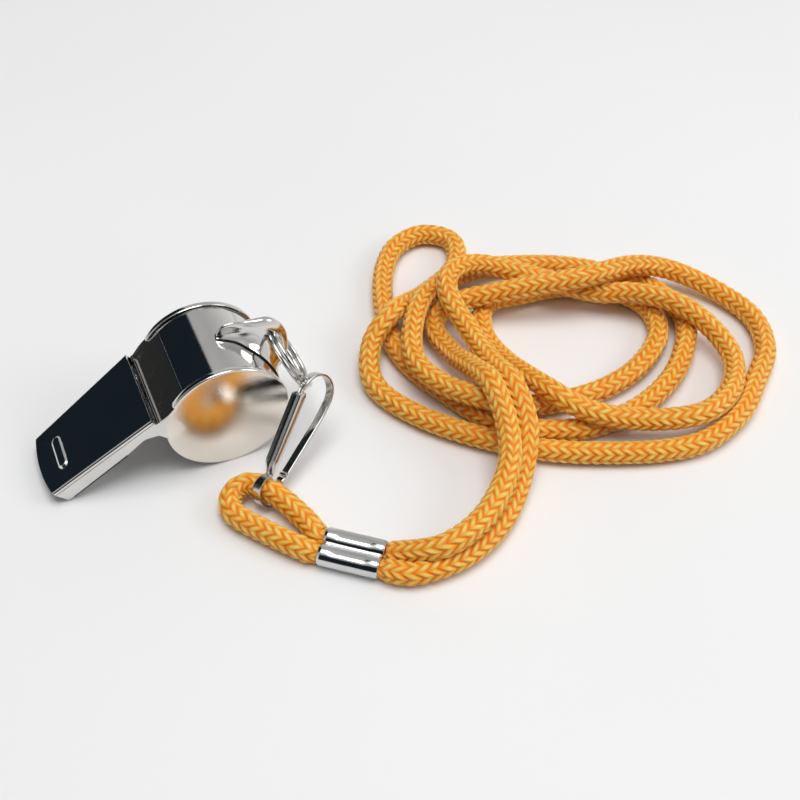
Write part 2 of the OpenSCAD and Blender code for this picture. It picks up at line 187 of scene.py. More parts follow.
# %% Camera
view_from = (-22.82, -146.72, 172.76)
view_right = Vector((0.9206, -0.3904, 0.0)).normalized()
view_ahead = Vector((0.2642, 0.6229, -0.7363)).normalized()
view_up = view_right.cross(view_ahead)
lens = tuned(bpy.data.cameras.new("camera"), lens=56.95, sensor_width=36, clip_start=0.01,
             clip_end=10)
camera = add_object("camera", lens)
turn = Matrix((view_right, view_up, -view_ahead)).transposed()
camera.matrix_world = Matrix.Translation(Vector(view_from) * MM) @ turn.to_4x4()
bpy.context.scene.camera = camera
print("camera tilt below level:", round(degrees(asin(-view_ahead.z)), 1), "degrees")

# %% [markdown]
# The neck cord is one length of knitted cord, 4.2 mm thick. Both of its ends are crimped in
# the ferrule, and a short loop of the same cord comes out of the ferrule's other end and
# holds the clip. It could be simulated as a falling rope, but its lie in the photograph is
# known, so its route is a list of round numbers, the same list that the CAD
# solids follow. A smooth curve through them is the cord's real centreline.

# %% Where the cords and the ferrule lie
stand = np.array([6.6, 6.86, 0])  # the spot on the table under the middle of the drum
cord_d = 4.2
row_step = 0.23  # from one row of points to the next along a cord
ferrule_d = 3.8
ferrule_l = 10.4
ferrule_t = 0.3
ferrule_at = stand + [11.3, -37.5, ferrule_d / 2]
ferrule_heading = radians(-39)
lobe_apart = ferrule_d - ferrule_t
ferrule_run = np.array([cos(ferrule_heading), sin(ferrule_heading), 0])
ferrule_side = np.array([-sin(ferrule_heading), cos(ferrule_heading), 0])
lying = 2.2  # the height of a point with two numbers, which lies on the table
neck_route = [
    [19.5, -45.5], [28, -45.5], [36, -42], [43, -35.5, 2.8], [48, -28, 6.8], [49, -20, 10],
    [49, -12, 7.8], [49, -3, 7], [48.5, 6, 8.8], [51, 11.5, 9.2], [57, 13.5, 8], [64, 10.5, 6.4],
    [76.5, 0.5, 4.8], [83, -4, 6], [88.5, -10.5, 7], [92.5, -17.5, 5], [92.5, -25.5, 3.8],
    [86.5, -33, 4.8], [78, -36, 5.6], [68, -32.5, 5], [60, -28, 6.3], [55.5, -22, 7.6],
    [53.5, -8, 3], [53.5, 1], [57.5, 7.5], [65, 7.5], [74, 6], [82, 1.5], [86, -5.5], [84, -13],
    [76, -19], [66, -21.5], [54.5, -20.5, 2.4], [46, -20, 6.8], [39.5, -12.5, 6], [37, -4, 6],
    [40.5, 4.5, 6.7], [46.5, 11, 6.5], [58, 16.5, 3.5], [65, 16.5, 2.4], [75.5, 12.5],
    [83.5, 6.5], [90, -1.5], [91, -11], [85.5, -19.5], [77.5, -25.5], [68, -28.5], [57.5, -28],
    [46.5, -22], [39.5, -9], [36.5, 1], [37.5, 11], [41.5, 22.5], [47, 30], [54, 32], [59, 27.5],
    [56, 20], [47, 15], [38, 8.5, 6.6], [31.5, 4, 4], [29, -4.5], [34, -15], [43, -24.5],
    [51, -30.5], [60, -35], [69.5, -38.5], [78, -39.5], [87, -36.5], [94, -31], [101, -24],
    [103.5, -15.5], [100.5, -6.5, 2.7], [94, 0, 4.8], [85.5, 1.5, 7.6], [74, 0.5, 9.4],
    [62, 4, 7.8], [49.5, 8, 4.6], [45, 4.5, 3], [45, -4, 4], [45, -12, 8], [45, -19.5, 11.2],
    [44, -28, 9], [40.5, -35.5, 7.4], [33, -42, 6.2], [24.5, -44.5, 5.6]]
clip_route = [
    [6.5, -28.5], [4, -22.8, 3], [2.6, -20.5, 3], [1.4, -18.8, 3], [-0.7, -17.6, 2.8],
    [-3, -18.2, 2.4], [-4.3, -20.5], [-3.8, -23.2], [-0.5, -28], [3, -32.5]]
lead_in = 1.2


def ferrule_face(end, lobe):
    """Middle of one lobe on one end face of the ferrule."""
    return ferrule_at + ferrule_run * end * ferrule_l / 2 + ferrule_side * lobe * lobe_apart / 2


def led(route, end, first, last):
    """A route with its heights, whose two ends run straight into lobes of the ferrule."""
    straight = ferrule_run * end * lead_in
    start, stop = ferrule_face(end, first), ferrule_face(end, last)
    middle = np.array([(*p, lying)[:3] for p in route]) + stand
    return np.vstack([start, start + straight, middle, stop + straight, stop])


neck_line, neck_length = evenly(through(led(neck_route, 1, -1, 1), 24), row_step)
clip_line, clip_length = evenly(through(led(clip_route, -1, 1, -1), 24), row_step)
print(f"neck cord {neck_length:.0f} mm, clip loop {clip_length:.0f} mm")

# %% [markdown]
# The cord is knitted as a tube on five needles. Each needle leaves a column of V shaped
# stitches, and each arm of a V is a bundle of shiny filament as plump as a rice grain. A
# picture of a knit on a smooth tube would look flat at its outline, so the arms are real
# bumps here. A height is worked out for each point round the tube from its place in its
# column and along its stitch. Where two strands press together the tube gives way.

# %% The knitted tube
stitch_pitch = 1.85
columns = 5
around = 60  # points round the tube
arm_rise, arm_height, arm_gap = 0.85, 0.45, 1.15
turn_start, turn_swing, turn_run = 0.3, 0.25, 19  # the columns wander slowly round the cord
end_slim, slim_run = 0.75, 1.8  # the crimp squeezes both ends
over_table = 0.03
coarse_by = 4  # every fourth row is enough to find where strands meet
own_stretch = 9  # this near along the cord, a strand doesn't press on itself
out_of_reach = 99.0


def pressed(line, reach, offsets):
    """Flattens offsets from a line where its three nearest other stretches lie against it."""
    coarse = line[::coarse_by]
    skip = int(own_stretch / (row_step * coarse_by))
    index = np.arange(len(coarse))
    kept = offsets.copy()
    barred = np.abs(index[:, None] - index[None, :]) < skip
    for _ in range(3):
        gaps = np.zeros(len(coarse))
        nearest = np.zeros(len(coarse), int)
        for i in range(len(coarse)):
            away = np.linalg.norm(coarse - coarse[i], axis=1)
            away[barred[i]] = out_of_reach
            nearest[i] = int(np.argmin(away))
            gaps[i] = away[nearest[i]]
            barred[i, max(0, nearest[i] - skip):nearest[i] + skip] = True
        for i in range(len(line)):
            k = min(i // coarse_by, len(coarse) - 1)
            if gaps[k] < 2 * reach:
                toward = coarse[nearest[k]] - line[i]
                gap = np.linalg.norm(toward)
                toward /= gap
                past = np.maximum(0, kept[i] @ toward - gap / 2)
                kept[i] -= past[:, None] * toward
    return kept


def knitted(name, line, body, stands_for):
    """A knitted cord along a line, with its stitches as real bumps."""
    side, up = frames_along(line)
    rows = len(line)
    along = np.arange(rows) * row_step / stitch_pitch
    turn_by = turn_swing * np.sin(along / turn_run) + turn_start
    k = np.arange(around) / around * columns
    aside = np.abs((k % 1) * 2 - 1)
    phase = along[:, None] - arm_rise * aside[None, :]
    wave = np.abs(phase % 1 * 2 - 1)
    plump = np.sqrt(np.clip(1 - (wave * arm_gap) ** 2, 0, 1))
    # An arm stands highest in its middle and dives to about half at its two ends.
    taper = 0.5 + 0.5 * np.sin(pi * (0.06 + 0.88 * aside))[None, :] ** 0.7
    lift = plump * taper
    near_end = np.minimum(np.arange(rows), np.arange(rows)[::-1]) * row_step
    slim = 1 - (1 - end_slim) * (1 - smooth_step(near_end / slim_run))
    radius = (cord_d / 2 - arm_height * (1 - lift)) * slim[:, None]
    angle = (k / columns * 2 * pi)[None, :] + turn_by[:, None]
    offsets = (np.cos(angle) * radius)[..., None] * side[:, None, :]
    offsets = offsets + (np.sin(angle) * radius)[..., None] * up[:, None, :]
    offsets = pressed(line, cord_d / 2, offsets)
    points = line[:, None, :] + offsets
    points[..., 2] = np.maximum(points[..., 2], over_table)
    points = np.vstack([line[:1], points.reshape(-1, 3), line[-1:]])
    i = np.arange(rows - 1)[:, None] * around + 1
    a = np.arange(around)[None, :]
    b = (a + 1) % around
    quads = np.stack([i + a, i + b, i + around + b, i + around + a], -1).reshape(-1, 4)
    first = [(0, 1 + (j + 1) % around, 1 + j) for j in range(around)]
    base = 1 + (rows - 1) * around
    last = [(len(points) - 1, base + j, base + (j + 1) % around) for j in range(around)]
    mesh = bpy.data.meshes.new(name)
    mesh.from_pydata((points * MM).tolist(), [], quads.tolist() + first + last)
    mesh.shade_smooth()
    # The finish reads these: place along the cord, place across a column, height of the arm, which
    # also sets the painted shade and highlight.
    knit = mesh.attributes.new("knit", "FLOAT_VECTOR", "POINT")
    values = np.zeros((len(points), 3))
    values[1:-1, 0] = phase.reshape(-1)
    values[1:-1, 1] = np.broadcast_to(aside, phase.shape).reshape(-1)
    values[1:-1, 2] = lift.reshape(-1)
    knit.data.foreach_set("vector", values.reshape(-1))
    print(f"{name}: {rows * row_step / stitch_pitch:.0f} stitches long")
    return put(name, mesh, body, stands_for)


neck_knit = knitted("neck_cord_knit", neck_line, "lanyard", ["neck_cord"])
clip_knit = knitted("clip_cord_knit", clip_line, "lanyard", ["clip_cord"])

# %% [markdown]
# The ferrule is a strip of plated sheet pressed round both runs of the cord. It ends up as
# two tubes side by side with a seam between them, and the press leaves a shallow mark along
# each lobe. Its section is two arcs that meet at the seam, drawn out along the heading, with
# the ends turned in a little so that they don't cut the yarn.

# %% Ferrule
mark_w, mark_depth, mark_reach, mark_fade = 0.9, 0.16, 0.78, 0.3
end_turn, end_reach, end_fade, end_inset = 0.12, 0.93, 0.07, 0.08
mouth = [(0.02, 0.04), (0.0, 0.16)]  # depth from the end face, and height over the bore
bore_depth = 0.3


def lobe_outline(radius):
    """Two arcs that meet over and under the seam between the lobes."""
    seam = acos(min(1, lobe_apart / 2 / radius))
    arc = np.linspace(-(pi - seam), pi - seam, 40)
    right = [(lobe_apart / 2 + radius * cos(a), radius * sin(a)) for a in arc]
    return np.array(right + [(-x, -z) for x, z in right])


def ferrule_ring(along, radius, mark=0.0):
    """One ring of the ferrule, at a distance along its length from the middle."""
    flat = lobe_outline(radius)
    x, z = flat[:, 0], flat[:, 1]
    z = z - mark * np.exp(-((np.abs(x) - lobe_apart / 2) / mark_w) ** 2) * (z > 0)
    return ferrule_at + along * ferrule_run + x[:, None] * ferrule_side + z[:, None] * [0, 0, 1]


outer, bore = ferrule_d / 2, ferrule_d / 2 - ferrule_t
half_l = ferrule_l / 2
rings = [ferrule_ring(depth - half_l, bore + over) for depth, over in mouth]
for s in np.linspace(-1, 1, 61):
    end_in = end_turn * smooth_step((abs(s) - end_reach) / end_fade)
    pinch = mark_depth * smooth_step((mark_reach - abs(s)) / mark_fade)
    rings.append(ferrule_ring(s * (half_l - end_inset), outer - end_in, pinch))
rings += [ferrule_ring(half_l - depth, bore + over) for depth, over in mouth[::-1]]
rings += [ferrule_ring(s * (half_l - bore_depth), bore) for s in (1, -1)]
points, faces = loft(rings, caps=False)
count = len(rings[0])
last = (len(rings) - 1) * count
faces += [(last + k, last + (k + 1) % count, (k + 1) % count, k) for k in range(count)]
ferrule_shell = make_piece("ferrule_shell", points, faces, "lanyard", ["ferrule"])

# %% [markdown]
# The whistle's own pieces are drawn upright in their own frame, with the drum's axis at the
# origin and the lip toward -X, and then set down as it rests: on the drum and on the lip.
# The resting tilt follows from the drum's radius and the lip's height, as in the real thing.

# %% The whistle's own frame
drum_d, drum_w, sheet_t, rim_w = 22, 18.3, 0.5, 1.05
ramp_angle, heel_angle = radians(97), radians(151)
lip_reach, lip_w, neck_w, lip_bow = 31.8, 14, 17.4, 1
lip_h, fold_h, window_reach, fold_reach = 3.93, 3.3, 8.6, 16.6
drum_r = drum_d / 2
band_r = drum_r - sheet_t
chamber_r = band_r - sheet_t
top_z = band_r
lip_z, fold_z = top_z - lip_h, top_z - fold_h
crest_reach, crest_z = 12.2, fold_z + 0.85
heel_reach, heel_z = 10.1, fold_z - 0.3
step_z = fold_z + 0.3
bend_reach = 5.5
lip_side = lip_reach - lip_bow
lip_set_back = 1.5
tip_x = lip_reach - lip_set_back
tip_z = lip_z + lip_set_back * (fold_z - lip_z) / (lip_reach - fold_reach)
rest_pitch = atan2(tip_z, tip_x) + asin(drum_r / hypot(tip_x, tip_z))
drum_axis = stand + [0, 0, drum_r]
print("rests at", round(degrees(rest_pitch), 2), "degrees, drum axis at", drum_axis)


def whistle(points):
    """Sets points of the whistle's own frame down on the table."""
    p = np.asarray(points, float)
    x = p[..., 0] * cos(rest_pitch) - p[..., 2] * sin(rest_pitch)
    z = p[..., 0] * sin(rest_pitch) + p[..., 2] * cos(rest_pitch)
    return np.stack([x, p[..., 1], z], -1) + drum_axis


def polar(radius, angle):
    """A point on a circle, from its radius and angle."""
    return np.array([radius * cos(angle), radius * sin(angle)])


def half_at(reach):
    """Half width of the mouthpiece at a reach from the drum axis."""
    taper = (neck_w - lip_w) / 2 / (lip_side - window_reach)
    return neck_w / 2 - (np.maximum(reach, window_reach) - window_reach) * taper


def whistle_sheet(name, mesh, stands_for):
    """A sheet of the whistle, from points and faces in its own frame."""
    points, faces = mesh
    return make_piece(name, whistle(points), faces, "whistle", [stands_for])


# %% [markdown]
# Each cheek is pressed from one blank: a flat disc, a rim turned over the band, and a wall
# that bends inward and runs on as the side of the mouthpiece. The disc has to stay truly
# flat, because it mirrors the table, and only the bend may curve. So the blank's outline is
# filled with small triangles and each point is pushed inward by a smooth function of its
# place. The turned rim is swept round the disc and welded on.

# %% Cheeks
cheek_t = 0.36
rim_round = 0.32
# The rim's own line: its radius, and how far it stands in from the face.
rim_line = [(drum_r - rim_round + rim_round * sin(t), rim_round - rim_round * cos(t))
            for t in np.linspace(0, pi / 2, 7)]
rim_line += [(drum_r, 0.5), (drum_r, 0.95), (drum_r - 0.05, rim_w)]
rim_start, rim_end = radians(112), heel_angle - 2 * pi
rim_angles = np.linspace(rim_start, rim_end, 170)
wall_top = 9.7
blade_reach, blade_z = 8.3, top_z - 1.5
ramp_foot = blade_z - 0.15
edge_shows = 0.4
fill_step, fill_clear = 0.45, 0.28


def skin_half(x, z):
    """Half width over the cheek's outer face at a place on its side."""
    bend = smooth_step((-x - bend_reach) / (window_reach - bend_reach))
    above = smooth_step((z - 4) / 3)
    return drum_w / 2 + (half_at(-x) - drum_w / 2) * bend * above


def dense(outline, step):
    """A closed outline with extra points on its long edges."""
    line = []
    for a, b in zip(outline, outline[1:] + outline[:1]):
        a, b = np.array(a), np.array(b)
        parts = max(1, int(np.ceil(np.linalg.norm(b - a) / step)))
        line += [a + (b - a) * k / parts for k in range(parts)]
    return line


def cheek_blank():
    """The flat outline of the cheek inside its turned rim, as points and triangles."""
    arc = [polar(drum_r - rim_round, a) for a in rim_angles]
    below = [(-heel_reach, heel_z), (-crest_reach, crest_z), (-fold_reach, step_z),
             (-fold_reach, fold_z + edge_shows), (-tip_x, tip_z + edge_shows)]
    above = [(-lip_side, wall_top), (-window_reach, wall_top), (-window_reach + 0.1, ramp_foot),
             (-blade_reach - 0.3, ramp_foot)]
    outline = dense(arc + below + above, fill_step)
    edge = np.array(outline)
    inside = []
    for x in np.arange(-31, 11, fill_step):
        for z in np.arange(-11, 10.5, fill_step):
            clear = np.min(np.hypot(edge[:, 0] - x, edge[:, 1] - z)) > fill_clear
            if clear and within(edge, x, z):
                inside.append((x, z))
    flat = [Vector(p) for p in outline + inside]
    ties = [(i, (i + 1) % len(outline)) for i in range(len(outline))]
    solved = delaunay_2d_cdt(flat, ties, [], 1, 1e-6)
    return solved[0], solved[2]


def within(edge, x, z):
    """Whether a place lies inside a closed outline."""
    x0, z0 = edge[:, 0], edge[:, 1]
    x1, z1 = np.roll(x0, -1), np.roll(z0, -1)
    crosses = (z0 > z) != (z1 > z)
    at = x0 + (z - z0) * (x1 - x0) / np.where(z1 == z0, 1, z1 - z0)
    return np.count_nonzero(crosses & (x < at)) % 2 == 1


def cheek(name, side, stands_for):
    """One cheek with its turned rim. side is 1 for the far one and -1 for the near one."""
    flat, triangles = cheek_blank()
    blank = [(p.x, side * skin_half(p.x, p.y), p.y) for p in flat]
    rings = []
    for a in rim_angles:
        half = skin_half(*polar(drum_r - rim_round, a))
        rings.append([(r * cos(a), side * (half - inward), r * sin(a)) for r, inward in rim_line])
    piece = whistle_sheet(name, joined((blank, triangles), loft(rings, closed=False)), stands_for)
    if side * piece.data.polygons[0].normal.y < 0:
        piece.data.flip_normals()
    # The face is satin. The turned rim round it, marked 1, is as bright as the band.
    turned = drum_w / 2 - 0.02
    for face in piece.data.polygons:
        out = side * (face.center.y / MM - drum_axis[1])
        from_axis = hypot(face.center.x / MM - drum_axis[0], face.center.z / MM - drum_axis[2])
        face.material_index = int(out < turned and from_axis > drum_r - rim_round)
    return sheet_metal(piece, cheek_t)


near_side = cheek("near_cheek_sheet", -1, "near_cheek")
far_side = cheek("far_cheek_sheet", 1, "far_cheek")

# %% [markdown]
# The band is one strip rolled round the drum. Its upper end runs on as a flat ramp, whose
# free edge is rolled into the round blade that splits the air. A strip like this has the same
# section all the way across, so the section is drawn once, finely where it is round, and
# drawn out along Y. The ramp is narrower than the band, so the two are drawn apart.

# %% Drum band and ramp
blade_r, ramp_t, blade_rise = 0.42, 0.4, 0.1
skin_gap = 0.03


def lip_at(y):
    """Reach of the bowed lip at a place across it."""
    return lip_reach - lip_bow * (y / (lip_w / 2)) ** 2


def across(outline, half, rows=2, set_back=0.0):
    """Draws an outline in X and Z out along Y. half gives the half width at each point, and
    the lip's bow cuts it off, set back by so much."""
    rings = []
    for t in np.linspace(-1, 1, rows):
        ring = []
        for x, z in outline:
            y = t * half(-x)
            ring.append((max(x, -(lip_at(y) - set_back)), y, z))
        rings.append(ring)
    return loft(rings)


band_arc = np.linspace(ramp_angle, heel_angle - 2 * pi, 260)
band_outline = [polar(band_r, a) for a in band_arc]
band_outline += [polar(chamber_r, a) for a in band_arc[::-1]]
band_half = drum_w / 2 - sheet_t
band_top = polar(band_r, ramp_angle)
lean = atan2(band_top[1] - blade_z, band_top[0] + blade_reach)
bead_middle = np.array([-blade_reach, blade_z - ramp_t / 2 + blade_rise])
bead = [bead_middle + polar(blade_r, a) for a in np.linspace(lean - pi / 2, lean - 1.8 * pi, 28)]
root = ramp_angle - 0.06
foot = [polar(band_r - 0.01, ramp_angle), polar(band_r - 0.05, root),
        polar(chamber_r + 0.02, root), polar(chamber_r, ramp_angle)]
ramp_outline = dense(bead + foot, 0.4)
band_strip = across(band_outline, lambda reach: band_half)
ramp_strip = across(ramp_outline, lambda reach: skin_half(-reach, top_z) - skin_gap)
band_sheet = whistle_sheet("drum_band_sheet", joined(band_strip, ramp_strip), "drum_band")
sheet_metal(band_sheet)

# %% [markdown]
# The top plate is level, with its long sides rolled down over the cheeks' walls and its lip
# bowed for the mouth. A stadium shaped grip pad is embossed across it, for the teeth. It is
# a grid of points: the sides follow a roll of half a millimetre, and the pad lifts the grid
# by a smooth step, so that its edge catches the light as pressed sheet does.

# %% Top plate
plate_t, plate_edge = 0.42, 0.12
roll_r, roll_end = 0.5, radians(125)
pad_l, pad_w, pad_h, pad_reach = 7, 1.7, 0.35, 27
pad_slope = 0.42


def pad_lift(x, y):
    """Height of the embossed pad over the plate."""
    over = np.maximum(np.abs(y) - (pad_l - pad_w) / 2, 0)
    away = np.hypot(x + pad_reach, over)
    return pad_h * smooth_step((pad_w / 2 + pad_slope / 2 - away) / pad_slope)


def plate_row(t):
    """One row across the plate, from one rolled edge to the other. t is 0 at the window."""
    reach = window_reach + t * (lip_side - window_reach)
    half = half_at(reach)
    flat = np.linspace(-1, 1, 91) * (half - roll_r)
    roll = [(half - roll_r + roll_r * sin(a), roll_r * cos(a) - roll_r)
            for a in np.linspace(0, roll_end, 10)[1:]]
    section = [(-y, z) for y, z in roll[::-1]] + [(y, 0.0) for y in flat] + roll
    row = []
    for y, z in section:
        x = -(window_reach + t * (lip_at(y) - window_reach))
        lift = pad_lift(x, y) if z == 0 else 0.0
        row.append((x, y, top_z + z + lift))
    return row


# The rows are closest where the pad's edge rises.
rows_at = [*np.linspace(0, 0.75, 26), *np.linspace(0.755, 0.9, 34), *np.linspace(0.91, 1, 8)]
plate = loft([plate_row(t) for t in rows_at], closed=False)
top_plate = whistle_sheet("top_plate_sheet", plate, "mouthpiece_top")
if top_plate.data.polygons[len(top_plate.data.polygons) // 2].normal.z < 0:
    top_plate.data.flip_normals()
sheet_metal(top_plate, plate_t, plate_edge, 3)

# %% [markdown]
# Two sheets close the mouthpiece below. The floor runs level from the lip, climbs to a crest
# under the window and turns down to the drum. Its fold, a second and wider strip here, shows
# as a near black edge along the foot of the wall, which is painted shade. The windway sheet
# lies on it and leaves a narrow slot for the breath. Each has one section across, so it is
# drawn like the band, but its half width follows the taper of the walls.

# %% Floor sheets
floor_rows = 15


def floor_strip(outline, wall):
    """A strip between the tapered walls, set back from the lip."""
    return across(outline, lambda reach: half_at(reach) - wall, floor_rows, lip_set_back)


floor_line = [(-lip_reach, lip_z), (-fold_reach, fold_z), (-crest_reach, crest_z),
              (-heel_reach, heel_z), polar(drum_r + 0.05, heel_angle)]
floor_back = [(x + (sheet_t if x > -crest_reach else 0), z + sheet_t) for x, z in floor_line[:-1]]
floor_end = polar(band_r + 0.05, heel_angle - 0.03)
fold = [(-lip_reach, lip_z), (-fold_reach, fold_z), (-fold_reach, fold_z + edge_shows),
        (-lip_reach, lip_z + edge_shows)]
floor_part = floor_strip(floor_line + [floor_end] + floor_back[::-1], sheet_t)
fold_strip = floor_strip(fold, skin_gap)
floor_sheet = whistle_sheet("floor_sheet", joined(floor_part, fold_strip), "mouthpiece_floor")
# The fold's faces take slot 1, near black metal that paints the shade along the wall's foot.
for face in list(floor_sheet.data.polygons)[-len(fold_strip[1]):]:
    face.material_index = 1
sheet_metal(floor_sheet)

slot_h, windway_start, windway_end, rest_gap = 1.15, 24, 9.8, 0.02
windway_t = top_z - sheet_t - slot_h - crest_z - sheet_t
start_z = lip_z + (fold_z - lip_z) * (lip_reach - windway_start) / (lip_reach - fold_reach)
start_z, end_z = start_z + sheet_t + rest_gap, crest_z + sheet_t + rest_gap
windway = [(-windway_start, start_z), (-crest_reach, end_z), (-windway_end, end_z)]
windway += [(x, z + windway_t) for x, z in windway[::-1]]
windway_strip = across(windway, lambda reach: half_at(reach) - sheet_t)
windway_sheet = whistle_sheet("windway_sheet", windway_strip, "windway_floor")
sheet_metal(windway_sheet)

# %% [markdown]
# The lug that carries the ring is pressed from one blank and soldered to the band. It starts
# as a narrow tongue, widens into a flared foot and rises to a ridge with a hole across it.
# Its sections are arches whose height and width follow short tables of shares, over a low
# upright edge. Smooth curves through the tables give the soft pressed shape, and a boolean cuts
# the hole. The inside and the foot's edge are near black, which is painted shade, and a thin
# dark floor inside paints the shade that hides the bright band below.

# %% Ring lug
lug_h, lug_foot, lug_hole_d, lug_hole_reach = 6, 5.4, 4.2, 13.4
# Each row is an angle round the drum and the shares of height and width there.
lug_shares = [
    (48, 0.12, 0.11), (44, 0.38, 0.16), (37, 0.5, 0.22), (29, 0.57, 0.31), (21, 0.72, 0.49),
    (13, 0.93, 0.62), (6, 0.97, 0.71), (-3, 0.92, 0.8), (-11, 0.8, 0.89), (-18, 0.66, 0.97),
    (-25, 0.45, 1)]
arch_shares = [(1, 0), (0.74, 0.12), (0.52, 0.3), (0.4, 0.55), (0.31, 0.8), (0.18, 0.95), (0, 1)]
lug_seam, lug_over_band, lug_wall = 0.25, 0.03, 0.6
lug_shade_floor_t, lug_shade_floor_share = 0.04, np.array([1, 0.99, 1])
drill_half = 8


def arch(half, foot, ridge, seam):
    """A smooth arch from one foot over the ridge to the other, as Y and radius. seam is the
    upright height of its edge."""
    whole = [(-w, h) for w, h in arch_shares] + arch_shares[-2::-1]
    low = foot + seam
    line = [(half * w, low + (ridge - low) * max(0, h)) for w, h in through(whole, 5)]
    return [(-half, foot)] + line + [(half, foot)]


def lug_ring(angle, rise, width):
    """One closed section of the lug: the outer arch and the inner one back."""
    foot = band_r + lug_over_band
    ridge = foot + lug_h * rise
    half = lug_foot * width
    under = max(ridge - sheet_t, foot + (ridge - foot) / 2)
    inside = arch(max(half - lug_wall, half / 3), foot, under, lug_seam / 2)
    ring = arch(half, foot, ridge, lug_seam) + inside[::-1]
    return [(r * cos(radians(angle)), y, r * sin(radians(angle))) for y, r in ring]


rings = [lug_ring(*row) for row in through(lug_shares, 6)]
count = len(rings[0])
# A thin floor of near black metal inside the lug paints the shade there and hides the bright band.
shade_floor_rings = []
for ring in rings[2:]:
    low, high = np.array(ring[count // 2]), np.array(ring[-1])
    thick = lug_shade_floor_t * low * [1, 0, 1] / hypot(low[0], low[2])
    low, high = low * lug_shade_floor_share, high * lug_shade_floor_share
    shade_floor_rings.append([low, high, high + thick, low + thick])
lug_shade_floor = loft(shade_floor_rings)
lug = whistle_sheet("ring_lug_pressing", joined(loft(rings), lug_shade_floor), "ring_lug")
# Slot 1 takes the inside, the foot's edge and the floor: there near black metal is painted shade.
painted_shade_faces = [int(k == 0 or k >= count // 2 - 2) for _ in rings[1:] for k in range(count)]
painted_shade_faces += [0, 0] + [1] * len(lug_shade_floor[1])
lug.data.materials.append(None)
lug.data.materials.append(None)
lug.data.polygons.foreach_set("material_index", painted_shade_faces)
drill_x = np.array([lug_hole_reach, 0, 0])
drill_rings = [[drill_x + [lug_hole_d / 2 * cos(a), y, lug_hole_d / 2 * sin(a)]
                for a in round_angles(48)] for y in (-drill_half, drill_half)]
points, faces = loft(drill_rings)
drill_mesh = bpy.data.meshes.new("drill")
drill_mesh.from_pydata((whistle(points) * MM).tolist(), [], faces)
drill = add_object("drill", drill_mesh)
tuned(lug.modifiers.new("ring hole", "BOOLEAN"), object=drill, solver="EXACT")
bpy.context.view_layer.update()
drilled = bpy.data.meshes.new_from_object(lug.evaluated_get(bpy.context.evaluated_depsgraph_get()))
lug.modifiers.clear()
lug.data = drilled
bpy.data.objects.remove(drill)
sheet_metal(lug, edge=0.07)
print("lug with its hole:", len(lug.data.vertices), "points")

# %% [markdown]
# The pea is a ball of pressed cork that rattles round the chamber. It can hardly be seen, but
# it is a real piece, so it is an uneven ball and not a perfect one: a finely divided sphere
# whose points are pushed in and out by a sum of slow waves.

# %% Pea
pea_d, pea_clear = 9, 0.2
pea_waves, pea_inset, pea_uneven = 14, 0.012, 0.03
pea_orbit = chamber_r - pea_clear - pea_d / 2
ball = bmesh.new()
bmesh.ops.create_icosphere(ball, subdivisions=5, radius=pea_d / 2)
chance = np.random.default_rng(7)
waves = chance.normal(size=(pea_waves, 3)) * 1.3
shifts = chance.uniform(0, 2 * pi, pea_waves)
points = []
for v in ball.verts:
    p = np.array(v.co)
    bump = np.mean(np.sin(waves @ p + shifts))
    points.append(p * (1 - pea_inset + pea_uneven * bump) + [0, 0, -pea_orbit] + drum_axis)
faces = [tuple(v.index for v in f.verts) for f in ball.faces]
ball.free()
pea_ball = make_piece("cork_pea", points, faces, "pea_ball", ["pea"])

# %% [markdown]
# The split ring is spring wire wound into two turns that touch, with a short jog where it
# passes from one turn to the other, so that it can be worked onto the lug. A helix written
# as a formula gives the wire's middle, and a tube follows it with its cut ends rounded.

# %% Split ring
ring_r, ring_wire, turn_gap = 6.1, 0.86, 0.02
ring_winding, ring_jog = 706, 60  # degrees of wire in all, and of the jog between the turns
ring_at = stand + [13.56, -2.3, 14.13]
ring_turn = Euler((0, radians(65.8), radians(-0.6)), "XYZ").to_matrix()


def placed(points, matrix, at):
    """Turns and moves points of a piece's own frame to their place on the table."""
    return np.asarray(points, float) @ np.array(matrix).T + at


def tube(line, radii, sides):
    """A closed tube along a line, with its own radius at each point."""
    rings = []
    for p, t, r in zip(line, directions(line), radii):
        a = np.cross(t, (0, 0, 1))
        a /= np.linalg.norm(a)
        b = np.cross(a, t)
        rings.append([p + r * (cos(k) * a + sin(k) * b) for k in round_angles(sides)])
    return loft(rings)


wire = []
radii = []
for a in np.linspace(0, ring_winding, 240):
    shift = (ring_wire + turn_gap) * (smooth_step((a - ring_winding / 2) / ring_jog + 0.5) - 0.5)
    wire.append((ring_r * cos(radians(a)), ring_r * sin(radians(a)), shift))
    from_end = min(a, ring_winding - a) * radians(1) * ring_r
    radii.append(ring_wire / 2 * sqrt(min(1, 0.25 + from_end / 0.5)))
points, faces = tube(wire, radii, 16)
ring = make_piece("split_ring_wire", placed(points, ring_turn, ring_at), faces, "ring",
                  ["split_ring"])

# %% [markdown]
# The clip is bent from two strips. One is a pressed channel with an eye round the cord at its
# lower end. The other is a spring: it is hinged beside the eye, bows round the top, and its
# tip rests inside the channel until a thumb presses it in. Both are a section carried along
# a line in the clip's own plane. The channel's sides grow out of the flat strip gradually.

# %% Clip frame and strips
clip_l, bow_r, eye_r = 18.7, 3.45, 2.7
strip_t, strip_w, channel_w, channel_t, channel_side = 0.5, 1.7, 2.3, 0.4, 1.0
eye_end = radians(62)
hinge_at, neck_at = (-1.75, 3.6), (1.45, 3.6)
web_x, web_top = bow_r - strip_t / 2 - 0.1 - channel_t / 2, clip_l - 1.2
grow_from, grow_over = 2.2, 2.6  # where the sides of the channel grow out of the flat strip
eye_flare, tip_run, tip_share = 0.35, 0.7, 0.75
leg_step = 0.3
clip_at = stand + [2.63, -20.56, 3.05]
clip_turn = Euler((radians(125.9), radians(-54), radians(176.8)), "XYZ").to_matrix()


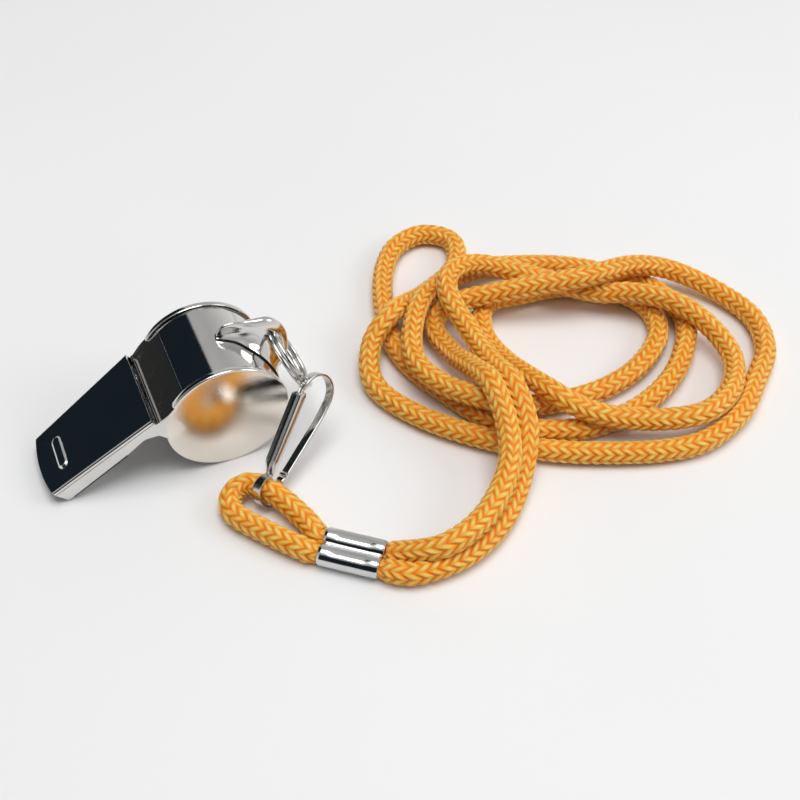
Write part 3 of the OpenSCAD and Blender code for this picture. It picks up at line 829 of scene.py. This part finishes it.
def strip(line, sections):
    """Carries sections along a line in the clip's plane. A section's first coordinate points
    to the right of the run, and its second along the strip's width."""
    rings = []
    for (x, y), (u, v), section in zip(line, directions(line), sections):
        rings.append([(x + v * n, y - u * n, w) for n, w in section])
    return loft(rings)


def rounded(t, w, r, steps=4):
    """A flat strip's section with rounded edges."""
    corners = ((1, 1, 0), (-1, 1, 90), (-1, -1, 180), (1, -1, 270))
    turns = [(x, y, radians(a + k * 90 / steps)) for x, y, a in corners for k in range(steps + 1)]
    return [(x * (t / 2 - r) + r * cos(a), y * (w / 2 - r) + r * sin(a)) for x, y, a in turns]


def channel(t, w, side, r=0.28, steps=5):
    """A channel's section, open to the right of the run, with rounded outer corners."""
    quarter = [radians(k * 90 / steps) for k in range(steps, -1, -1)]
    low = [(-t / 2 + r - r * cos(a), -w / 2 + r - r * sin(a)) for a in quarter]
    high = [(x, -y) for x, y in low[::-1]]
    tip = t / 2 + side
    bare = t * 0.85
    inner = [(tip, w / 2 - bare), (t / 2, w / 2 - bare)]
    inner += [(x, -y) for x, y in inner[::-1]]
    return [(tip, -w / 2)] + low + high + [(tip, w / 2)] + inner


eye_arc = [polar(eye_r, a) for a in np.linspace(pi - eye_end, 2 * pi + eye_end, 46)]
lead = [(-1.5, 3.0), *eye_arc, (1.42, 3.1), neck_at]
leg = [(neck_at[0] + (web_x - neck_at[0]) * k, neck_at[1] + (web_top - neck_at[1]) * k)
       for k in np.linspace(0, 1, 30)[1:]]
channel_line, channel_run = evenly(lead + leg, leg_step)
sections = []
for x, y in channel_line:
    grown = smooth_step((y - grow_from) / grow_over) if x > 0 else 0.0
    wide = strip_w + eye_flare * smooth_step((1.5 - y) / 3)
    tip = smooth_step((web_top - y) / tip_run) ** 0.5
    width = (wide + (channel_w - wide) * grown) * (tip_share + (1 - tip_share) * tip)
    sections.append(channel(channel_t, width, channel_side * grown * tip))
points, faces = strip(channel_line, sections)
clip_leg = make_piece("clip_channel_strip", placed(points, clip_turn, clip_at), faces, "clip",
                      ["clip_channel"])
sheet_metal(clip_leg)

# %% Clip spring
spring_step, spring_round = 0.25, 0.16
tip_narrow, curl_r = 0.5, 0.42
knee = (-bow_r, clip_l - 3.2)
bow = [(bow_r * cos(a), clip_l + bow_r * sin(a)) for a in np.linspace(pi, 0, 60)]
spring_line, spring_run = evenly([hinge_at, knee, *bow, (bow_r, clip_l - 2.6)], spring_step)
# A soft average, ten times over, bends the corners of the line as a spring bends.
weights = np.array([1, 4, 6, 4, 1]) / 16
for _ in range(10):
    padded = np.vstack([spring_line[:1]] * 2 + [spring_line] + [spring_line[-1:]] * 2)
    spring_line = sum(w * padded[k:k + len(spring_line)] for k, w in enumerate(weights))
sections = []
for k in range(len(spring_line)):
    to_tip = (len(spring_line) - 1 - k) * spring_step
    width = strip_w - tip_narrow * smooth_step((3.2 - to_tip) / 1.5)
    sections.append(rounded(strip_t, width, spring_round))
curl = [[(hinge_at[0] + curl_r * cos(a), hinge_at[1] + curl_r * sin(a), w)
         for a in round_angles(24)] for w in (-strip_w / 2, strip_w / 2)]
points, faces = joined(strip(spring_line, sections), loft(curl))
clip_gate = make_piece("clip_spring_strip", placed(points, clip_turn, clip_at), faces, "gate",
                       ["clip_spring"])
sheet_metal(clip_gate, edge=0.04)
print(f"channel strip {channel_run:.1f} mm, spring strip {spring_run:.1f} mm")

# %% [markdown]
# The finishes could be painted pictures. Nodes that read a place on the piece need no flattened
# map of its surface and stay sharp from near. Short functions name the steps that they share.

# %% Material helpers
def blank_material(name):
    """A new material with its node tree and its main shader."""
    material = bpy.data.materials.new(name)
    material.use_nodes = True
    tree = material.node_tree
    return material, tree, tree.nodes["Principled BSDF"]


def fill(tree, made, inputs):
    """Fills a node's inputs with values, or links other nodes' outputs to them."""
    for key, value in inputs.items():
        if isinstance(value, bpy.types.NodeSocket):
            tree.links.new(value, made.inputs[key])
        else:
            made.inputs[key].default_value = value


def node(tree, kind, inputs=None, **settings):
    """Adds a node, sets its options and fills its inputs."""
    made = tuned(tree.nodes.new(kind), **settings)
    fill(tree, made, inputs or {})
    return made


def maths(tree, operation, first, second=0.0):
    """The result of an operation on two values, or on the first alone."""
    return node(tree, "ShaderNodeMath", {0: first, 1: second}, operation=operation).outputs[0]


def noise(tree, place, scale, detail):
    """Soft noise at a scale."""
    values = {"Vector": place, "Scale": scale, "Detail": detail}
    return node(tree, "ShaderNodeTexNoise", values).outputs["Fac"]


def bumped(tree, height, strength, distance):
    """The surface direction over a relief."""
    values = {"Height": height, "Strength": strength, "Distance": distance}
    return node(tree, "ShaderNodeBump", values).outputs["Normal"]


def ramp(tree, source, stops):
    """A colour ramp with its stops."""
    made = node(tree, "ShaderNodeValToRGB", {"Fac": source})
    bar = made.color_ramp
    while len(bar.elements) < len(stops):
        bar.elements.new(0.5)
    for element, (at, colour) in zip(bar.elements, stops):
        element.position = at
        element.color = (*colour, 1)
    return made.outputs["Color"]


def spread(tree, source, low, high, start=0.0, stop=1.0):
    """Maps a value from one range to another."""
    values = {"Value": source, "From Min": start, "From Max": stop, "To Min": low, "To Max": high}
    return node(tree, "ShaderNodeMapRange", values).outputs["Result"]


# %% [markdown]
# Every metal piece is plated with bright nickel: a clean mirror on the plates and the band, a
# little softer on the cheeks, the ring, the clip and the ferrule. A mirror shows what is round
# it, so most of the look comes from the studio. The finish adds faint haze, fine hair lines
# and a slightly warm tint, from noise at three scales that drives the roughness and a very
# shallow bump. Inside the lug, on its foot's edge and on the fold's edge a near black metal is
# painted shade, the dark of the hollows and gaps there.

# %% Plated metal
def plated(name, tint, worn_tint, smooth, hazy, bump, hair=0.12, grain_scale=9000.0):
    """Bright plating with haze, hair lines and small dents."""
    material, tree, shader = blank_material(name)
    place = node(tree, "ShaderNodeTexCoord").outputs["Object"]
    haze = noise(tree, place, 90.0, 5.0)
    stretch = node(tree, "ShaderNodeMapping", {"Vector": place, "Rotation": (0.3, 0.2, 0.5),
                                               "Scale": (60.0, 1400.0, 900.0)})
    hairs = noise(tree, stretch.outputs[0], 1.0, 2.0)
    scratches = spread(tree, hairs, 0.0, 1.0, 0.62, 0.8)
    relief = maths(tree, "SUBTRACT", noise(tree, place, grain_scale, 2.0),
                   spread(tree, scratches, 0.0, hair * 8))
    fill(tree, shader, {
        "Base Color": ramp(tree, haze, [(0.3, worn_tint), (0.62, tint)]),
        "Roughness": maths(tree, "ADD", spread(tree, haze, smooth, hazy, 0.4, 0.75),
                           spread(tree, scratches, 0.0, hair)),
        "Normal": bumped(tree, relief, bump, 0.00002),
        "Metallic": 1.0})
    return material


nickel = plated("bright_nickel", (0.74, 0.73, 0.71), (0.66, 0.65, 0.63), 0.03, 0.09, 0.2)
satin = plated("satin_nickel", (0.82, 0.77, 0.70), (0.76, 0.71, 0.64), 0.08, 0.12, 0.9, 0.0, 5000.0)
spring = plated("spring_plating", (0.66, 0.66, 0.65), (0.56, 0.56, 0.55), 0.06, 0.14, 0.3)
# Near black metal that paints the shade in the lug's hollow, at its foot's edge and along the fold.
painted_shade_metal = plated("painted_shade_metal", (0.05, 0.05, 0.055), (0.03, 0.03, 0.03), 0.4, 0.55, 0.3)
print("metals:", ", ".join(m.name for m in (nickel, satin, spring, painted_shade_metal)))

# %% [markdown]
# The yarn is a shiny filament, bright orange. On top of that the colour paints light: each
# stitch gets a painted highlight, pale yellow, on its crown and painted shade, deep orange,
# where it dives under the next. The knit's own attribute holds the height and the place along
# each arm, so the painted light follows the real bumps, and fine waves across the arm make the
# separate filaments. Inside the ferrule the cord's two runs are packed yarn that fills the
# lobes, so there the CAD solids stay and only take the colour.

# %% Knitted yarn
filaments = 9
# Deep orange is painted shade where an arm dives, pale yellow a painted highlight on its crown.
yarn_shade_highlight_stops = [(0.15, (1.0, 0.24, 0.0)), (0.5, (1.0, 0.35, 0.008)), (0.78, (1.0, 0.53, 0.05)),
              (1.0, (1.0, 0.74, 0.18))]


def yarn(name):
    """Orange filament yarn that follows the knit's stitches, with painted shade in the dips and a
    painted highlight on the crowns.
    """
    material, tree, shader = blank_material(name)
    knit = node(tree, "ShaderNodeAttribute", attribute_name="knit").outputs["Vector"]
    parts = node(tree, "ShaderNodeSeparateXYZ", {0: knit})
    place = node(tree, "ShaderNodeTexCoord").outputs["Object"]
    patches = noise(tree, place, 700.0, 3.0)
    uneven = spread(tree, patches, -0.14, 0.14, 0.3, 0.7)
    strands = maths(tree, "MULTIPLY", parts.outputs["X"], 2 * pi * filaments)
    fill(tree, shader, {
        "Base Color": ramp(tree, maths(tree, "ADD", parts.outputs["Z"], uneven), yarn_shade_highlight_stops),
        "Roughness": spread(tree, patches, 0.3, 0.42),
        "Normal": bumped(tree, maths(tree, "SINE", strands), 0.6, 0.00005),
        "Sheen Weight": 0.15,
        "Sheen Roughness": 0.4})
    return material


orange_yarn = yarn("orange_yarn")
packed_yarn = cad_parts["ferrule_cords"]
packed_yarn.data.materials.clear()
packed_yarn.data.materials.append(orange_yarn)
print("yarn finish:", orange_yarn.name, "also on the CAD node", packed_yarn.name)

# %% [markdown]
# The pea's cork is pressed from pale grains with dark flecks and pits. A web of cells times
# fine noise gives one value, which colours the grain and presses the pits in.

# %% Cork
def cork(name):
    """Pressed cork: pale grains with dark flecks and pits."""
    material, tree, shader = blank_material(name)
    place = node(tree, "ShaderNodeTexCoord").outputs["Object"]
    cells = node(tree, "ShaderNodeTexVoronoi", {"Vector": place, "Scale": 1300.0})
    flecks = noise(tree, place, 2600.0, 4.0)
    blend = maths(tree, "MULTIPLY", cells.outputs["Distance"], flecks)
    fill(tree, shader, {
        "Base Color": ramp(tree, blend, [(0.1, (0.50, 0.31, 0.15)), (0.3, (0.36, 0.20, 0.09)),
                                         (0.55, (0.14, 0.07, 0.03))]),
        "Roughness": spread(tree, flecks, 0.7, 0.95),
        "Normal": bumped(tree, blend, 0.6, 0.0001)})
    return material


cork_grain = cork("pressed_cork")
print("cork finish:", cork_grain.name)

# %% [markdown]
# Real pieces are plated before they are put together, so each takes one finish. The cheeks'
# rims take a second one, bright nickel, on the faces marked for it. The fold and the inside of
# the lug take a second one too, near black metal on the faces marked for it, which is painted
# shade.

# %% Put the finishes on
for finish, pieces in ((nickel, (band_sheet, top_plate, floor_sheet, windway_sheet)),
                       (satin, (near_side, far_side)),
                       (spring, (ring, clip_leg, clip_gate, ferrule_shell)),
                       (orange_yarn, (neck_knit, clip_knit)),
                       (cork_grain, (pea_ball,))):
    for piece in pieces:
        piece.data.materials.append(finish)
    print(f"{finish.name} on {len(pieces)} pieces")
for piece, second in ((near_side, nickel), (far_side, nickel), (floor_sheet, painted_shade_metal)):
    piece.data.materials.append(second)
lug.data.materials[0] = nickel
lug.data.materials[1] = painted_shade_metal

# %% [markdown]
# Both of its ends go back into the object, through the ferrule.

print(f"declared at {round(neck_length)} and {round(clip_length)} mm, {cord_d} mm thick")

# %% [markdown]
# Polished metal was photographed in a white tent with one dark screen behind it and a dark
# opening at the front for the camera. The screen gives the plates their near black, with one
# sharp upright edge where it ends and the band turns pale. The opening darkens what is turned
# to the viewer. A real screen would get in the way of other views, so both dark patches are
# part of the world's light, which the metal reflects and the camera doesn't see.

# %% Studio
def grey(value):
    """A neutral colour."""
    return (value, value, value)


table_half = 2.0
floor_mesh = bpy.data.meshes.new("table_top")
floor_mesh.from_pydata([(x * table_half, y * table_half, 0)
                        for x, y in ((-1, -1), (1, -1), (1, 1), (-1, 1))], [], [(0, 1, 2, 3)])
table_top = add_object("table_top", floor_mesh)
paper, paper_tree, paper_shader = blank_material("white_paper")
fibres = node(paper_tree, "ShaderNodeTexNoise", {"Scale": 40.0, "Detail": 2.0}).outputs["Fac"]
fill(paper_tree, paper_shader, {
    "Base Color": ramp(paper_tree, fibres, [(0.3, grey(0.86)), (0.7, grey(0.88))]),
    "Roughness": 0.9,
    "Specular IOR Level": 0.1})
table_top.data.materials.append(paper)

world = bpy.data.worlds.new("white_tent")
bpy.context.scene.world = world
world.use_nodes = True
tent = world.node_tree
tent.nodes.clear()
toward = node(tent, "ShaderNodeTexCoord").outputs["Generated"]
axes = node(tent, "ShaderNodeSeparateXYZ", {0: toward}).outputs
heading = maths(tent, "ARCTAN2", axes["Y"], axes["X"])
rise = maths(tent, "ARCSINE", axes["Z"])


def between(value, low, high, soft_low, soft_high):
    """1 between two angles in degrees and 0 outside, each edge as soft as it says."""
    up = spread(tent, value, 0.0, 1.0, radians(low - soft_low), radians(low + soft_low))
    down = spread(tent, value, 1.0, 0.0, radians(high - soft_high), radians(high + soft_high))
    return maths(tent, "MULTIPLY", up, down)


def dark_patch(headings, heading_soft, rises, rise_soft):
    """1 inside a patch of the tent and 0 outside it."""
    return maths(tent, "MULTIPLY", between(heading, *headings, *heading_soft),
                 between(rise, *rises, *rise_soft))


screen = dark_patch((93, 152), (1.2, 3), (3, 62), (2, 5))
opening = dark_patch((-165, -88), (4, 6), (-6, 54), (1, 5))
dark = maths(tent, "MAXIMUM", screen, opening)
dark_tint = ramp(tent, spread(tent, rise, 0, 1, radians(6), radians(12)),
                 [(0.0, (0.034, 0.032, 0.029)), (1.0, (0.010, 0.017, 0.024))])
tent_tint = ramp(tent, spread(tent, rise, 0, 1, 0, radians(90)),
                 [(0.0, grey(0.84)), (0.45, grey(0.46)), (1.0, grey(0.8))])
seen = node(tent, "ShaderNodeMix", {"Factor": dark, "A": tent_tint, "B": dark_tint},
            data_type="RGBA")
tent_light = node(tent, "ShaderNodeBackground", {"Color": seen.outputs["Result"]})
plain = node(tent, "ShaderNodeBackground", {"Color": (*grey(0.95), 1)})
ray = node(tent, "ShaderNodeLightPath").outputs["Is Camera Ray"]
both = node(tent, "ShaderNodeMixShader", {0: ray, 1: tent_light.outputs[0], 2: plain.outputs[0]})
node(tent, "ShaderNodeOutputWorld", {"Surface": both.outputs[0]})
light_aim = Vector((0.03, 0, 0))


def soft_light(name, at, size, power):
    """A large round light that looks at the middle of the part."""
    lamp = tuned(bpy.data.lights.new(name, "AREA"), shape="DISK", size=size, energy=power)
    holder = add_object(name, lamp)
    holder.location = at
    holder.rotation_euler = (light_aim - Vector(at)).to_track_quat("-Z", "Y").to_euler()


soft_light("overhead_box", (0.05, -0.05, 0.7), 0.5, 2.6)
soft_light("side_box", (0.6, -0.3, 0.45), 0.35, 1.1)
bpy.context.scene.view_settings.view_transform = "Standard"
print("studio:", len(bpy.data.lights), "soft lights in a tent with two dark patches")

# %% Update the scene
bpy.context.view_layer.update()
